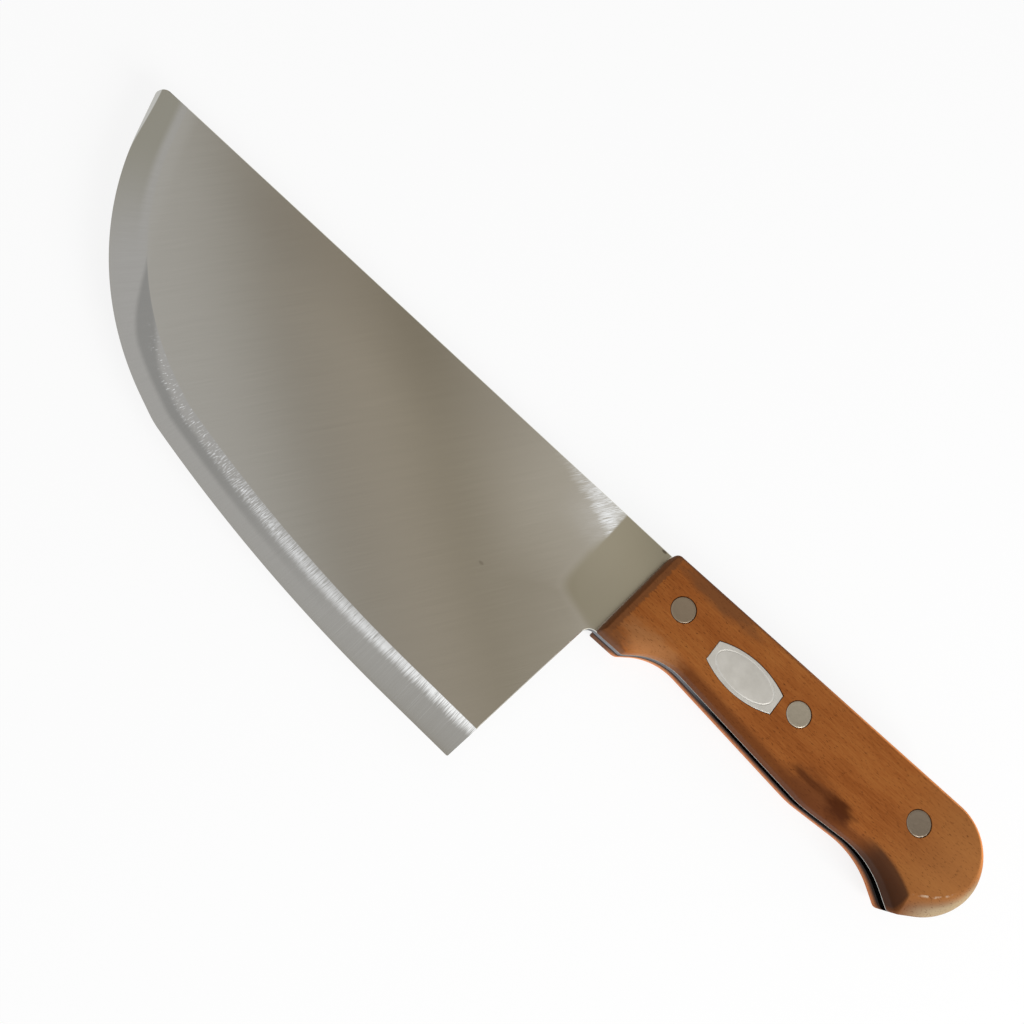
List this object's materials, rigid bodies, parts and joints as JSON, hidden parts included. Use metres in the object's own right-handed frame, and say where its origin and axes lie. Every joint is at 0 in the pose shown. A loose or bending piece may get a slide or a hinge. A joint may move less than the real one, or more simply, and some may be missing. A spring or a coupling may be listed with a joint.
{
  "type": "kitchen cleaver",
  "caption": "Broad-bladed kitchen cleaver with a curved belly, ground bevel and full tang between wooden handle scales, held by flush rivets, with a small plain plate let into the front scale.",
  "frame": {"origin": "under the centre of the bounding box, on the outer face of the back scale", "axes": "+X along the spine from the tip to the butt, +Y from the cutting edge to the spine, +Z out of the front face"},
  "size_m": [0.3216, 0.0852, 0.0178],
  "materials": {
    "blade_steel": "satin, fine diagonal grinding scratches, brighter bevel",
    "scale_wood": "oiled orange-brown hardwood, grain along the handle, dark stains at the ends",
    "rivet_metal": "satin, sanded flush with the wood",
    "badge_metal": "pale satin plate, plain"
  },
  "bodies": {
    "root": {"blade": "blade_steel", "front_scale": "scale_wood", "back_scale": "scale_wood", "rivet_front_1": "rivet_metal", "rivet_front_2": "rivet_metal", "rivet_front_3": "rivet_metal", "rivet_back_1": "rivet_metal", "rivet_back_2": "rivet_metal", "rivet_back_3": "rivet_metal", "badge": "badge_metal"}
  },
  "joints": []
}
